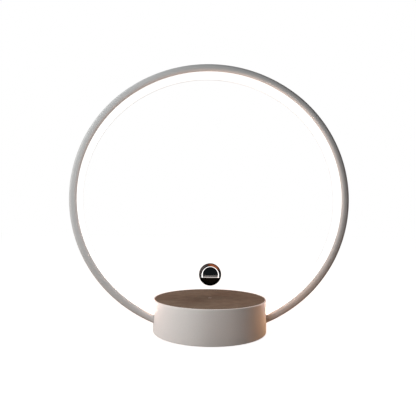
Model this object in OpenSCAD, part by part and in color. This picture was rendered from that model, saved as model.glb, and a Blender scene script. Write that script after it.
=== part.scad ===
// Levitating lamp: a hoop of light on a round base, with a mirror ball floating over the base.
// +Z is up, the front is -Y, and the origin is on the table under the middle of the base.

/* [Base] */
// Diameter of the base
base_d = 122; // [110:0.5:150]
// Height of the rim above the table
base_h = 35; // [32:0.5:50]
// Thickness of the base's wall
wall = 2.5; // [1.6:0.1:3.5]
// Width of the rim that shows round the top plate
rim_w = 1.2; // [0.9:0.1:1.5]
// Bevel on the outer edges of the base
bevel = 0.6; // [0.2:0.1:0.8]
// Thickness of the ledge that carries the top plate
ledge_t = 2; // [1:0.25:3]
// Width of the ledge under the top plate
ledge_w = 5; // [3:0.25:7]
// Diameter of the screw bosses in the shell
boss_d = 8; // [6:0.5:9]

/* [Top plate] */
// Thickness of the top plate
plate_t = 3; // [2:0.25:4]
// Gap between the top plate and the rim
plate_gap = 0.15; // [0.1:0.05:0.4]
// Bevel on the edge of the top plate
plate_bevel = 0.5; // [0.2:0.1:0.8]
// Diameter of the light window at the middle of the plate
lens_d = 4; // [3:0.5:6]
// Width of the flange that keeps the light window from rising
lens_flange_w = 1; // [0.5:0.1:2]
// Thickness of that flange
lens_flange_t = 1; // [0.5:0.1:1.5]

/* [Underside] */
// Thickness of the bottom cover
cover_t = 2; // [2:0.1:3]
// Gap between the bottom cover and the wall
cover_gap = 0.2; // [0.1:0.05:0.5]
// Diameter of a rubber foot
foot_d = 10; // [6:0.5:14]
// Distance that the feet stand out under the cover
foot_out = 1; // [0.5:0.1:2]
// Depth of the seat of a foot in the cover
foot_seat = 1; // [0.5:0.1:1.4]
// Distance between a foot and the nearest cover screw
foot_margin = 3; // [1:0.25:8]

/* [Hoop] */
// Width of the hoop from side to side
hoop_span = 304; // [270:1:380]
// Height of the hoop from the lowest point of its outline, were it closed, to its top
hoop_rise = 294.4; // [260:0.2:340]
// Thickness of the hoop in its own plane
hoop_t = 8; // [7:0.1:10]
// Depth of the hoop from front to back
hoop_w = 29; // [27:0.5:34]
// Radius of the hoop's rounded edges
hoop_edge_r = 3.6; // [1:0.1:3.6]
// Distance of the hoop's ends from the inside of the base's wall
hoop_inset = 4; // [3.5:0.1:5]
// Gap between the hoop's ends and the bottom cover
hoop_floor_gap = 5.5; // [0.5:0.1:7]
// Gap round the hoop where it goes through the wall
slot_gap = 0.3; // [0.1:0.05:0.6]
// Thickness of the hoop's back behind the lights
hoop_back = 2.7; // [1.8:0.1:3]
// Width of the light strip's recess
recess_w = 19; // [14:0.2:20]
// Width of the diffuser
diffuser_w = 22; // [20.5:0.1:23]
// Thickness of the diffuser
diffuser_t = 2; // [1:0.1:2.5]
// Gap on each side of the diffuser
diffuser_gap = 0.1; // [0.05:0.05:0.3]

/* [Lights] */
// Width of the light strip
strip_w = 10; // [8:0.5:12]
// Thickness of the light strip
strip_t = 0.5; // [0.2:0.1:0.8]
// Distance from one light to the next along the strip
chip_pitch = 10; // [6:0.5:20]
// Length of a light along the strip
chip_l = 2.8; // [1.6:0.1:3.5]
// Width of a light across the strip
chip_w = 3.5; // [2:0.1:5]
// Height of a light on the strip
chip_h = 0.8; // [0.4:0.1:1]
// Diameter of a light's wire
lead_d = 1.4; // [0.8:0.1:1.8]

/* [Hoop brackets] */
// Width of the bracket's arm and tongue
arm_w = 6.4; // [5:0.1:8]
// Thickness of the bracket's arm
arm_t = 6; // [4:0.25:7]
// Length of the tongue in the hoop
tongue_l = 5; // [4.5:0.1:6]
// Thickness of the bracket's foot
bracket_foot_t = 3; // [2:0.25:3.5]
// Length of the bracket's foot inside the arm
bracket_foot_l = 8; // [6.5:0.25:10]
// Width of the bracket's foot
bracket_foot_w = 18; // [16:0.5:22]

/* [Electronics] */
// Gap between the control board and the brackets' arms
board_margin = 1.2; // [0.6:0.1:3]
// Thickness of the control board
board_t = 1.6; // [0.8:0.2:2]
// Height of the board above the cover
standoff_h = 4; // [3.6:0.1:6]
// Diameter of the standoffs and spacers
standoff_d = 5.6; // [5:0.1:7]
// Distance of the standoffs' middles from the board's edge
standoff_margin = 5; // [3.5:0.25:6]
// Width of the power inlet's body
inlet_w = 9; // [8:0.5:11]
// Height of the power inlet's body
inlet_h = 11; // [10.5:0.25:13]
// Length of the power inlet's body
inlet_l = 12; // [11:0.25:15]
// Height of the inlet's bore above the board
inlet_axis_h = 6.5; // [4.5:0.25:7]
// Diameter of the inlet's round nose
nose_d = 8; // [7.5:0.1:9]
// Diameter of the inlet's bore
inlet_bore_d = 5.7; // [5.6:0.05:6.6]
// Depth of the inlet's bore
inlet_bore_l = 9.5; // [8:0.25:11]
// Diameter of the inlet's centre pin
pin_d = 2; // [1.6:0.1:2.5]
// Length of the pin that shows in the bore
pin_l = 8; // [6:0.25:8]

/* [Levitation unit] */
// Thickness of the steel plate under the magnets
lev_plate_t = 2; // [1:0.25:3]
// Width of that plate outside its screws
lev_margin = 5.5; // [4:0.25:6]
// Radial width of the ring magnet
ring_magnet_w = 8.5; // [4:0.25:9]
// Height of the ring magnet
ring_magnet_h = 8; // [4:0.25:9]
// Distance from one coil to the next
coil_gap = 4; // [1:0.25:8]
// Height of a coil
coil_h = 10; // [9:0.25:12]
// Thickness of a coil's flanges
flange_t = 1; // [0.6:0.1:1.5]
// Diameter of a coil's steel core
core_d = 6; // [4:0.25:8]
// Thickness of the bobbin's tube round the core
tube_t = 1; // [0.6:0.1:1.5]
// Step from the coil's flange down to its winding
winding_step = 0.5; // [0.2:0.1:1]
// Distance of the sensor board's edge from the coils' middles
sensor_board_inset = 2.2; // [0:0.1:5]
// Thickness of the sensor board
sensor_board_t = 1; // [0.6:0.1:1.6]
// Height of the sensors on their board
sensor_h = 1.2; // [0.6:0.1:1.5]
// Distance of the sensors' middles from their board's edge
sensor_inset = 5; // [2.5:0.25:7]
// Air between the sensors and the top plate
sensor_air = 1.3; // [0.5:0.1:2]

/* [Ball] */
// Diameter of the ball
ball_d = 24.4; // [23:0.1:40]
// Height at which the ball floats over the plate
float_gap = 13.1; // [8:0.1:25]
// Thickness of the ball's shells
ball_wall = 1.2; // [0.8:0.1:1.6]
// Height of the lip that joins the ball's shells
lip_h = 1; // [0.6:0.1:1.5]
// Thickness of that lip
lip_t = 0.6; // [0.4:0.1:0.8]
// Diameter of the magnet in the ball
magnet_d = 15.6; // [10:0.1:15.8]
// Thickness of the magnet in the ball
magnet_t = 6; // [3:0.25:6]
// Height of the ball's middle over the magnet's underside
magnet_drop = 5.2; // [3:0.1:5.6]
// Thickness of the cup under the magnet and of its cap
cup_t = 1.2; // [0.6:0.1:1.3]
// Width of the rim that the cup has under the magnet
cup_rim_w = 3; // [1.5:0.25:4]

/* [Screws] */
// Diameter of the larger screws
screw_d = 3; // [2.5:0.1:3.2]
// Diameter of the larger screws' heads
head_d = 5.5; // [5:0.1:6]
// Height of a flat screw head
flat_head_h = 1.6; // [1.2:0.1:1.8]
// Height of a round screw head
round_head_h = 1.8; // [1.2:0.1:2.2]
// Length of the screws that hold the cover
cover_screw_l = 9; // [6:0.5:14]
// Diameter of the screws that hold the hoop
hoop_screw_d = 2.5; // [2:0.1:2.6]
// Diameter of those screws' heads
hoop_head_d = 4.4; // [3.6:0.1:4.6]
// Height of those screws' heads
hoop_head_h = 1.2; // [0.8:0.1:1.5]
// Gap between a screw and its hole
screw_gap = 0.1; // [0.05:0.05:0.2]

/* [Hidden] */
$fn = 96;
// Gap between small pieces that are set into one another
seat_gap = 0.1;
// Gap on each side of the magnet that the ball turns on
running_gap = 0.05;
// Gap between pieces that pass one another without touching
air_gap = 1;
// Depth by which joined shapes of one piece run into one another
bite = 0.2;
// Step from the hoop's inner face down to the bracket's tongue
tongue_step = 0.7;
// Height of the bracket's arm over its tongue
arm_rise = 1.5;
// Metal left between the hoop's round edges where they meet
edge_land = 0.1;
// Angle from the vertical at which the hoop's arcs meet
arc_a = asin(0.6);
// Angle by which the two halves of one arc run into one another
arc_lap = 2;
// Overshoot of a cut past the face that it opens
over = 1;

base_r = base_d / 2;
base_in_r = base_r - wall;
rim_r = base_r - rim_w;
plate_z = base_h - plate_t;
ledge_r = rim_r - ledge_w;
ledge_z = plate_z - ledge_t;
cover_top = foot_out + cover_t;
boss_circle_r = base_in_r - boss_d / 2 + bite;
foot_circle_r = boss_circle_r - head_d / 2 - foot_margin - foot_d / 2;
corner_angles = [45, 135, 225, 315];

// Hoop: four arcs make its oval, the lower and upper ones of radius hoop_r and those at the sides of side_r
arc_step = (hoop_span - hoop_rise) / 2 / (sin(arc_a) + cos(arc_a) - 1);
side_r = hoop_span / 2 - arc_step * sin(arc_a);
hoop_r = side_r + arc_step;
hoop_in_r = hoop_r - hoop_t;
recess_r = hoop_r - hoop_back;
hoop_end_x = base_in_r - hoop_inset;
hoop_end_a = asin(hoop_end_x / hoop_r);
// Its ends stand over the cover, inside the wall, and that sets the height of the lower arc's middle
hoop_z = cover_top + hoop_floor_gap + hoop_r * cos(hoop_end_a);
side_x = arc_step * sin(arc_a);
side_drop = arc_step * cos(arc_a);
// Half of each arc, the other half being its mirror image: its first and last angle from straight down, its
// middle [x, z] from the lower arc's middle, and how much smaller than hoop_r its radius is
hoop_arcs = [
  [180 - arc_a, 180 + arc_lap, [0, -2 * side_drop], 0],
  [arc_a, 90 + arc_lap, [side_x, -side_drop], arc_step],
  [180 + arc_a, 270 + arc_lap, [-side_x, -side_drop], arc_step],
  [360 - arc_a, 360, [0, 0], 0]
];
edge_r = min(hoop_edge_r, (hoop_t - edge_land) / 2);
strip_r = recess_r - seat_gap - strip_t;

// Bracket: its tongue lies in the hoop's recess, clear of the recess's floor
tongue_in_r = hoop_in_r + tongue_step;
tongue_out_r = recess_r - seat_gap;
tongue_a = hoop_end_a + turn(tongue_l, recess_r);
arm_a = hoop_end_a - turn(slot_gap, hoop_r);
arm_top = hoop_point(tongue_in_r - arm_rise, arm_a);
arm_x = arm_top[0] - arm_t;
bracket_foot_x = arm_x - bracket_foot_l;
bracket_screw_x = arm_x - bracket_foot_l / 2;
bracket_screw_y = bracket_foot_w / 2 - head_d / 2 - air_gap;
hoop_screw_a = (hoop_end_a + tongue_a) / 2;
hoop_head_r = tongue_in_r - seat_gap;

// Lights: the strip starts past the tongue, the diffuser in the wall and the first light outside it
strip_a = tongue_a + turn(air_gap, recess_r);
diffuser_a = max(asin((base_r - wall / 2) / hoop_in_r), strip_a);
first_chip_a = asin((base_r + chip_l) / strip_r);
chip_count = floor((360 - 2 * first_chip_a) / turn(chip_pitch, strip_r));

// Stack in the base, from the cover up to the top plate
board_z = cover_top + standoff_h;
board_top = board_z + board_t;
board_r = arm_x - board_margin;
standoff_circle_r = board_r - standoff_margin;
sensor_top = plate_z - sensor_air;
sensor_board_z = sensor_top - sensor_h - sensor_board_t;
coil_z = sensor_board_z - coil_h;
lev_plate_z = coil_z - lev_plate_t;
lev_plate_r = standoff_circle_r + lev_margin;
ring_magnet_r = standoff_circle_r - head_d / 2 - air_gap;
ring_magnet_in_r = ring_magnet_r - ring_magnet_w;
// Four equal coils touch a circle inside the ring magnet and lie coil_gap apart
coil_room_r = ring_magnet_in_r - air_gap;
coil_r = (coil_room_r * sqrt(2) - coil_gap) / (2 + sqrt(2));
coil_circle_r = coil_room_r - coil_r;
sensor_board_r = coil_circle_r - sensor_board_inset;
sensor_circle_r = sensor_board_r - sensor_inset;
core_hole_r = core_d / 2 + seat_gap;
tube_r = core_hole_r + tube_t;

// Power inlet: its body stops short of the wall, and its nose ends in the wall's outer face
inlet_y1 = sqrt(pow(base_in_r, 2) - pow(inlet_w / 2, 2)) - slot_gap;
inlet_y0 = inlet_y1 - inlet_l;
nose_y = sqrt(pow(base_r, 2) - pow(nose_d / 2, 2));
inlet_z = board_top + inlet_axis_h;
inlet_back_y = nose_y - inlet_bore_l;

// Parts on the control board
header_w = 4;
header_l = 13;
header_h = 5;
header_margin = 3;
header_x = board_r - header_margin;
header_z = board_top + header_h / 2;
lead_y = arm_w / 2 + lead_d / 2 + slot_gap;
lead_r = recess_r - lead_d / 2 - seat_gap;
controller_w = 7;
controller_h = 1.2;
driver_size = [6.5, 6, 2.3];
driver_at = [14, 8];
capacitor_d = 6.3;
capacitor_h = 4.5;
capacitor_at = [8, 27];

// Ball
ball_r = ball_d / 2;
ball_in_r = ball_r - ball_wall;
ball_z = base_h + float_gap + ball_r;
magnet_r = magnet_d / 2;
magnet_z = -magnet_drop;
cup_hole_r = magnet_r + running_gap;
cup_floor_z = magnet_z - running_gap;
cup_top_z = magnet_z + magnet_t + running_gap;
cup_r = sqrt(pow(ball_in_r, 2) - pow(cup_floor_z, 2)) - seat_gap;
cup_foot_r = sqrt(pow(ball_in_r, 2) - pow(cup_floor_z - cup_t, 2)) - seat_gap;

paint = "#e6ddd6";
plate_brown = "#6e5a4d";
opal = "#fbfaf6";
smoked_chrome = "#45444a";
steel = "#b9bcc0";
black_plastic = "#26262a";
board_green = "#1f5a3c";
copper = "#b5713c";
brass = "#c9a552";

// Angle, in degrees, that a length along an arc of radius r spans
function turn(length, r) = length / r * 180 / PI;

// Point [x, z] of the hoop at angle a from straight down, towards +X, with r as its radius on the lower arc
function hoop_point(r, a) =
  let (
    side = a < 180 ? 1 : -1,
    b = a < 180 ? a : 360 - a,
    arc = b < arc_a ? [0, 0, 0] : b < 180 - arc_a ? [side_x, -side_drop, arc_step] : [0, -2 * side_drop, 0]
  )
  [side * (arc[0] + (r - arc[2]) * sin(b)), hoop_z + arc[1] - (r - arc[2]) * cos(b)];

// Ring of a wire in the plane y = side * lead_y: p is its middle and n the wire's normal in that plane
function wire_ring(p, n, side, sides) = [
  for (k = [0 : sides - 1])
    let (c = cos(360 * k / sides), s = sin(360 * k / sides))
    [p[0] + n[0] * c * lead_d / 2, side * lead_y + s * lead_d / 2, p[1] + n[1] * c * lead_d / 2]
];

// Section carried along the lower arc, from angle a to angle b
module along_low_arc(a, b) {
  translate([0, 0, hoop_z])
    rotate([90, 0, 0])
      rotate([0, 0, a - 90])
        rotate_extrude(angle = b - a)
          children();
}

// Section carried along the whole hoop, with both its ends at angle a
module along_hoop(a) {
  for (side = [0, 1])
    mirror([side, 0, 0])
      translate([0, 0, hoop_z])
        for (arc = hoop_arcs)
          translate([arc[2][0], 0, arc[2][1]])
            rotate([90, 0, 0])
              rotate([0, 0, arc[0] - 90])
                rotate_extrude(angle = min(arc[1], 360 - a) - arc[0])
                  translate([-arc[3], 0])
                    children();
}

// Places its children at radius r and angle a of the hoop, with their +Z pointing outwards
module on_hoop(r, a) {
  place = hoop_point(r, a);
  translate([place[0], 0, place[1]])
    rotate([0, 180 - a, 0])
      children();
}

// Outline of the hoop's section with round edges, made larger on all sides by grow
module hoop_section(grow = 0) {
  depth = hoop_w / 2 - edge_r;
  translate([hoop_in_r - grow, -depth])
    square([hoop_t + 2 * grow, 2 * depth]);
  translate([hoop_in_r + edge_r, -hoop_w / 2 - grow])
    square([hoop_t - 2 * edge_r, hoop_w + 2 * grow]);
  for (r = [hoop_in_r + edge_r, hoop_r - edge_r], y = [-depth, depth])
    translate([r, y])
      circle(edge_r + grow);
}

module on_circle(r, angles) {
  for (a = angles)
    rotate([0, 0, a])
      translate([r, 0, 0])
        children();
}

// Screw with a flat conical head whose top is at z = 0, pointing up
module flat_screw(length, grow = 0) {
  cylinder(h = flat_head_h, d1 = head_d + 2 * grow, d2 = screw_d + 2 * grow);
  cylinder(h = length + grow, d = screw_d + 2 * grow);
}

// Tube that stands on z = 0, with a hole for a larger screw
module spacer_tube(height) {
  difference() {
    cylinder(h = height, d = standoff_d);
    translate([0, 0, -over])
      cylinder(h = height + 2 * over, d = screw_d + 2 * screw_gap);
  }
}

module bracket_screw_places() {
  for (x = [-bracket_screw_x, bracket_screw_x], y = [-bracket_screw_y, bracket_screw_y])
    translate([x, y, foot_out])
      children();
}

// Screw that goes outwards through the tongue into the hoop's back, on the right side
module hoop_screw(grow = 0) {
  length = hoop_r - hoop_head_r - 2 * screw_gap - seat_gap;
  on_hoop(hoop_head_r, hoop_screw_a)
    translate([0, 0, -grow])
      cylinder(h = length + 2 * grow, d = hoop_screw_d + 2 * grow);
}

module base_shell() {
  color(paint)
    difference() {
      union() {
        rotate_extrude()
          polygon([
            [base_r - bevel, foot_out],
            [base_r, foot_out + bevel],
            [base_r, base_h - bevel],
            [base_r - bevel, base_h],
            [rim_r, base_h],
            [rim_r, plate_z],
            [ledge_r, plate_z],
            [ledge_r, ledge_z],
            [base_in_r, ledge_z],
            [base_in_r, foot_out]
          ]);
        on_circle(boss_circle_r, corner_angles)
          translate([0, 0, cover_top])
            cylinder(h = ledge_z - cover_top + bite, d = boss_d);
      }
      on_circle(boss_circle_r, corner_angles)
        translate([0, 0, foot_out])
          cylinder(h = cover_screw_l + over, d = screw_d + 2 * screw_gap);
      for (side = [0, 1])
        mirror([side, 0, 0])
          along_low_arc(hoop_end_a, arc_a)
            hoop_section(slot_gap);
      translate([0, base_in_r - over, inlet_z])
        rotate([-90, 0, 0])
          cylinder(h = wall + 2 * over, d = nose_d + 2 * slot_gap);
    }
}

module top_plate() {
  plate_r = rim_r - plate_gap;
  color(plate_brown)
    difference() {
      rotate_extrude()
        polygon([
          [0, plate_z],
          [plate_r, plate_z],
          [plate_r, base_h - plate_bevel],
          [plate_r - plate_bevel, base_h],
          [0, base_h]
        ]);
      translate([0, 0, plate_z - over])
        cylinder(h = plate_t + 2 * over, d = lens_d + 2 * seat_gap);
      translate([0, 0, plate_z - over])
        cylinder(h = lens_flange_t + seat_gap + over, d = lens_d + 2 * lens_flange_w + 2 * seat_gap);
    }
}

module indicator_lens() {
  color(opal)
    translate([0, 0, plate_z]) {
      cylinder(h = plate_t, d = lens_d);
      cylinder(h = lens_flange_t, d = lens_d + 2 * lens_flange_w);
    }
}

module bottom_cover() {
  color(black_plastic)
    difference() {
      translate([0, 0, foot_out])
        cylinder(h = cover_t, r = base_in_r - cover_gap);
      on_circle(boss_circle_r, corner_angles)
        translate([0, 0, foot_out])
          flat_screw(cover_screw_l, screw_gap);
      bracket_screw_places()
        flat_screw(cover_t + over, screw_gap);
      on_circle(foot_circle_r, corner_angles)
        translate([0, 0, foot_out - over])
          cylinder(h = over + foot_seat, d = foot_d + 2 * seat_gap);
    }
}

module rubber_feet() {
  color(black_plastic)
    on_circle(foot_circle_r, corner_angles)
      cylinder(h = foot_out + foot_seat, d = foot_d);
}

module cover_screws() {
  color(steel)
    on_circle(boss_circle_r, corner_angles)
      translate([0, 0, foot_out])
        flat_screw(cover_screw_l);
}

module hoop_channel() {
  color(paint)
    difference() {
      along_hoop(hoop_end_a)
        difference() {
          hoop_section();
          translate([hoop_in_r - over, -recess_w / 2])
            square([recess_r - hoop_in_r + over, recess_w]);
          translate([hoop_in_r - over, -diffuser_w / 2])
            square([diffuser_t + seat_gap + over, diffuser_w]);
        }
      for (side = [0, 1])
        mirror([side, 0, 0])
          hoop_screw(screw_gap);
    }
}

module hoop_diffuser() {
  color(opal)
    along_hoop(diffuser_a)
      translate([hoop_in_r, -diffuser_w / 2 + diffuser_gap])
        square([diffuser_t, diffuser_w - 2 * diffuser_gap]);
}

module led_strip() {
  color("white")
    along_hoop(strip_a)
      translate([strip_r, -strip_w / 2])
        square([strip_t, strip_w]);
}

module led_chips() {
  step = (360 - 2 * first_chip_a) / chip_count;
  // A flat light lies on the strip's curve with its ends this much closer to it than its middle
  curve_r = strip_r - max(arc_step, 0);
  sag = curve_r - sqrt(pow(curve_r, 2) - pow(chip_l / 2, 2));
  color("#f3e9b8")
    for (k = [0 : chip_count])
      on_hoop(strip_r - chip_h / 2 - 2 * sag, first_chip_a + k * step)
        cube([chip_l, chip_w, chip_h], center = true);
}

module led_leads() {
  sides = 8;
  path = [
    hoop_point(lead_r, strip_a),
    hoop_point(lead_r, hoop_end_a),
    [header_x + header_w, header_z],
    [header_x, header_z]
  ];
  last = len(path) - 1;
  color("#b03a2e")
    for (side = [-1, 1]) {
      rings = [
        for (i = [0 : last])
          let (
            before = path[max(i - 1, 0)],
            after = path[min(i + 1, last)],
            run = i == last ? [-1, 0] : (after - before) / norm(after - before)
          )
          wire_ring(path[i], [-run[1], run[0]], side, sides)
      ];
      walls = [
        for (i = [0 : last - 1], k = [0 : sides - 1])
          let (m = (k + 1) % sides)
          each [
            [i * sides + k, i * sides + m, (i + 1) * sides + m],
            [i * sides + k, (i + 1) * sides + m, (i + 1) * sides + k]
          ]
      ];
      start_cap = [for (k = [1 : sides - 2]) [0, k + 1, k]];
      end_cap = [for (k = [1 : sides - 2]) [last * sides, last * sides + k, last * sides + k + 1]];
      polyhedron([for (ring = rings) each ring], concat(walls, start_cap, end_cap));
    }
}

// Bracket on the right side: a tongue in the hoop, an arm along its end and a foot on the cover
module hoop_bracket() {
  arm_foot_x = (hoop_z - cover_top) * tan(arm_a);
  foot_top = cover_top + bracket_foot_t;
  color(steel)
    difference() {
      union() {
        along_low_arc(arm_a - turn(over, hoop_r), tongue_a)
          translate([tongue_in_r, -arm_w / 2])
            square([tongue_out_r - tongue_in_r, arm_w]);
        translate([0, arm_w / 2, 0])
          rotate([90, 0, 0])
            linear_extrude(arm_w)
              polygon([
                [arm_foot_x, cover_top],
                arm_top,
                [arm_x, arm_top[1]],
                [arm_x, cover_top]
              ]);
        translate([bracket_foot_x, -bracket_foot_w / 2, cover_top])
          cube([bracket_foot_l + bite, bracket_foot_w, foot_top - cover_top]);
      }
      bracket_screw_places()
        cylinder(h = cover_t + bracket_foot_t + over, d = screw_d + 2 * screw_gap);
      hoop_screw(screw_gap);
    }
}

module hoop_bracket_right() {
  hoop_bracket();
}

module hoop_bracket_left() {
  mirror([1, 0, 0])
    hoop_bracket();
}

module bracket_screws() {
  color(steel)
    bracket_screw_places()
      flat_screw(cover_t + bracket_foot_t - seat_gap);
}

module hoop_screws() {
  color(steel)
    for (side = [0, 1])
      mirror([side, 0, 0]) {
        hoop_screw();
        on_hoop(hoop_head_r - hoop_head_h, hoop_screw_a)
          cylinder(h = hoop_head_h, d = hoop_head_d);
      }
}

module board_standoffs() {
  color(brass)
    on_circle(standoff_circle_r, corner_angles)
      translate([0, 0, cover_top])
        spacer_tube(standoff_h);
}

module control_board() {
  tongue_end = inlet_y1 - air_gap;
  color(board_green)
    difference() {
      translate([0, 0, board_z])
        union() {
          cylinder(h = board_t, r = board_r);
          translate([-inlet_w / 2 - air_gap, 0, 0])
            cube([inlet_w + 2 * air_gap, tongue_end, board_t]);
        }
      on_circle(standoff_circle_r, corner_angles)
        translate([0, 0, board_z - over])
          cylinder(h = board_t + 2 * over, d = screw_d + 2 * screw_gap);
      for (side = [0, 1])
        mirror([side, 0, 0])
          translate([arm_x - air_gap, -arm_w / 2 - air_gap, board_z - over])
            cube([base_r, arm_w + 2 * air_gap, board_t + 2 * over]);
    }
}

module microcontroller() {
  color(black_plastic)
    translate([-controller_w / 2, -controller_w / 2, board_top])
      cube([controller_w, controller_w, controller_h]);
}

module driver_chips() {
  color(black_plastic)
    for (x = [-driver_at[0], driver_at[0]], y = [-driver_at[1], driver_at[1]])
      translate([x - driver_size[0] / 2, y - driver_size[1] / 2, board_top])
        cube(driver_size);
}

module capacitors() {
  color("#3d4a63")
    for (x = [-capacitor_at[0], capacitor_at[0]])
      translate([x, capacitor_at[1], board_top])
        cylinder(h = capacitor_h, d = capacitor_d);
}

module lead_header() {
  color("#e9e4d4")
    translate([header_x - header_w, -header_l / 2, board_top])
      cube([header_w, header_l, header_h]);
}

module power_inlet() {
  color(black_plastic)
    difference() {
      union() {
        translate([-inlet_w / 2, inlet_y0, board_top])
          cube([inlet_w, inlet_l, inlet_h]);
        translate([0, inlet_y1 - bite, inlet_z])
          rotate([-90, 0, 0])
            cylinder(h = nose_y - inlet_y1 + bite, d = nose_d);
      }
      translate([0, inlet_back_y, inlet_z])
        rotate([-90, 0, 0])
          cylinder(h = inlet_bore_l + over, d = inlet_bore_d);
    }
}

module inlet_pin() {
  color(brass)
    translate([0, inlet_back_y, inlet_z])
      rotate([-90, 0, 0])
        cylinder(h = pin_l, d = pin_d);
}

module plate_spacers() {
  color(brass)
    on_circle(standoff_circle_r, corner_angles)
      translate([0, 0, board_top])
        spacer_tube(lev_plate_z - board_top);
}

module levitation_plate() {
  color(steel)
    difference() {
      translate([0, 0, lev_plate_z])
        cylinder(h = lev_plate_t, r = lev_plate_r);
      on_circle(standoff_circle_r, corner_angles)
        translate([0, 0, lev_plate_z - over])
          cylinder(h = lev_plate_t + 2 * over, d = screw_d + 2 * screw_gap);
      translate([-inlet_w / 2 - air_gap, inlet_y0 - air_gap, lev_plate_z - over])
        cube([inlet_w + 2 * air_gap, base_r, lev_plate_t + 2 * over]);
    }
}

module module_screws() {
  tip_z = cover_top + seat_gap;
  color(steel)
    on_circle(standoff_circle_r, corner_angles) {
      translate([0, 0, tip_z])
        cylinder(h = coil_z - tip_z + bite, d = screw_d);
      translate([0, 0, coil_z])
        cylinder(h = round_head_h, d = head_d);
    }
}

module ring_magnet() {
  color("#4c4d52")
    translate([0, 0, coil_z])
      difference() {
        cylinder(h = ring_magnet_h, r = ring_magnet_r);
        translate([0, 0, -over])
          cylinder(h = ring_magnet_h + 2 * over, r = ring_magnet_in_r);
      }
}

module coil_places() {
  on_circle(coil_circle_r, [0, 90, 180, 270])
    translate([0, 0, coil_z])
      children();
}

module coil_bobbins() {
  color("#e9e4d4")
    coil_places()
      rotate_extrude()
        polygon([
          [core_hole_r, 0],
          [coil_r, 0],
          [coil_r, flange_t],
          [tube_r, flange_t],
          [tube_r, coil_h - flange_t],
          [coil_r, coil_h - flange_t],
          [coil_r, coil_h],
          [core_hole_r, coil_h]
        ]);
}

module coil_windings() {
  height = coil_h - 2 * flange_t - 2 * seat_gap;
  color(copper)
    coil_places()
      translate([0, 0, flange_t + seat_gap])
        difference() {
          cylinder(h = height, r = coil_r - winding_step);
          translate([0, 0, -over])
            cylinder(h = height + 2 * over, r = tube_r + seat_gap);
        }
}

module coil_cores() {
  color(steel)
    coil_places()
      cylinder(h = coil_h, d = core_d);
}

module sensor_board() {
  color(board_green)
    translate([0, 0, sensor_board_z])
      cylinder(h = sensor_board_t, r = sensor_board_r);
}

module hall_sensors() {
  length = 4;
  width = 3;
  color(black_plastic)
    on_circle(sensor_circle_r, [0, 120, 240])
      translate([-width / 2, -length / 2, sensor_top - sensor_h])
        cube([width, length, sensor_h]);
}

module indicator_led() {
  width = 3;
  color("white")
    translate([-width / 2, -width / 2, sensor_top - sensor_h])
      cube([width, width, sensor_h]);
}

module float_magnet() {
  color(steel)
    translate([0, 0, ball_z + magnet_z])
      cylinder(h = magnet_t, r = magnet_r);
}

module magnet_cup() {
  color(black_plastic)
    translate([0, 0, ball_z])
      rotate_extrude()
        polygon([
          [cup_hole_r - cup_rim_w, cup_floor_z - cup_t],
          [cup_foot_r, cup_floor_z - cup_t],
          [cup_r, cup_floor_z],
          [cup_r, cup_top_z],
          [cup_hole_r, cup_top_z],
          [cup_hole_r, cup_floor_z],
          [cup_hole_r - cup_rim_w, cup_floor_z]
        ]);
}

module magnet_cap() {
  color(black_plastic)
    translate([0, 0, ball_z + cup_top_z])
      cylinder(h = cup_t, r = cup_r);
}

// Half of the ball's shell, above its middle
module half_shell() {
  rotate_extrude()
    difference() {
      intersection() {
        circle(ball_r);
        square(ball_r);
      }
      circle(ball_in_r);
    }
}

module ball_upper_shell() {
  color(smoked_chrome)
    translate([0, 0, ball_z])
      half_shell();
}

module ball_lower_shell() {
  lip_r = sqrt(pow(ball_in_r, 2) - pow(lip_h, 2)) - running_gap;
  color(smoked_chrome)
    translate([0, 0, ball_z])
      union() {
        mirror([0, 0, 1])
          half_shell();
        rotate_extrude()
          polygon([
            [lip_r - lip_t, lip_h],
            [lip_r - lip_t, -lip_h],
            [ball_in_r + bite, -lip_h],
            [ball_in_r + bite, -running_gap],
            [lip_r, -running_gap],
            [lip_r, lip_h]
          ]);
      }
}

base_shell();
top_plate();
indicator_lens();
bottom_cover();
rubber_feet();
cover_screws();
hoop_channel();
hoop_diffuser();
led_strip();
led_chips();
led_leads();
hoop_bracket_left();
hoop_bracket_right();
bracket_screws();
hoop_screws();
board_standoffs();
control_board();
microcontroller();
driver_chips();
capacitors();
lead_header();
power_inlet();
inlet_pin();
plate_spacers();
levitation_plate();
module_screws();
ring_magnet();
coil_bobbins();
coil_windings();
coil_cores();
sensor_board();
hall_sensors();
indicator_led();
float_magnet();
magnet_cup();
magnet_cap();
ball_upper_shell();
ball_lower_shell();
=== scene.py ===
import math

import bmesh
import bpy
import numpy as np
from mathutils import Matrix, Vector


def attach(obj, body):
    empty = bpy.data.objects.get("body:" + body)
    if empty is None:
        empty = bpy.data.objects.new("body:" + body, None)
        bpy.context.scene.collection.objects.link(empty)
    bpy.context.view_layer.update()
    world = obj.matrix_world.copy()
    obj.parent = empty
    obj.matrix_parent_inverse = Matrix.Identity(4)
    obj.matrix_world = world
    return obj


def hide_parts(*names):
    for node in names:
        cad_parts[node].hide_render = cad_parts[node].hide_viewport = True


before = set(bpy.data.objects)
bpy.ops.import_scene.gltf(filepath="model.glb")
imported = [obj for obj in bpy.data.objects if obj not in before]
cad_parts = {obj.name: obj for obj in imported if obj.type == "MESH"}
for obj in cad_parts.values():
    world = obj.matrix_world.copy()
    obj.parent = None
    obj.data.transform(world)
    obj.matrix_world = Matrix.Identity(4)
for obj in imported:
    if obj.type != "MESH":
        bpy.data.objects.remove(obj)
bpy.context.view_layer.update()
print("frame loaded,", len(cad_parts), "solids")

scene = bpy.context.scene
scene.view_settings.view_transform = "Standard"


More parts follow.
